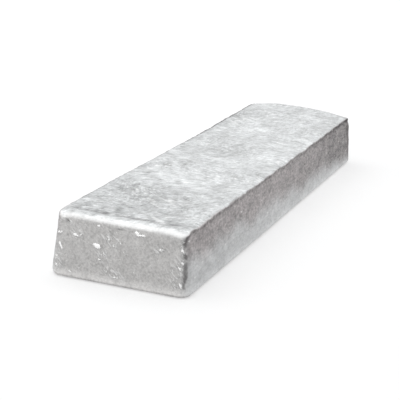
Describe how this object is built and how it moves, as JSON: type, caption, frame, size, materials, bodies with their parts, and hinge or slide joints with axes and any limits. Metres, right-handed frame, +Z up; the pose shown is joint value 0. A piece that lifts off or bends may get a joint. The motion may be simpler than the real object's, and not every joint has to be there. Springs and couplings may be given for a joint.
{
  "type": "magnesium ingot",
  "caption": "Cast magnesium ingot: one long bar with drafted walls and rounded edges, lying on its wide face for remelting or stacking.",
  "frame": {"origin": "centre of the wide face that the ingot lies on", "axes": "+X along the ingot, +Y across it, +Z up from the wide face to the narrow face"},
  "size_m": [0.5994, 0.13, 0.059],
  "materials": {
    "magnesium": "satin, as cast"
  },
  "bodies": {
    "root": {"ingot": "magnesium"}
  },
  "joints": []
}
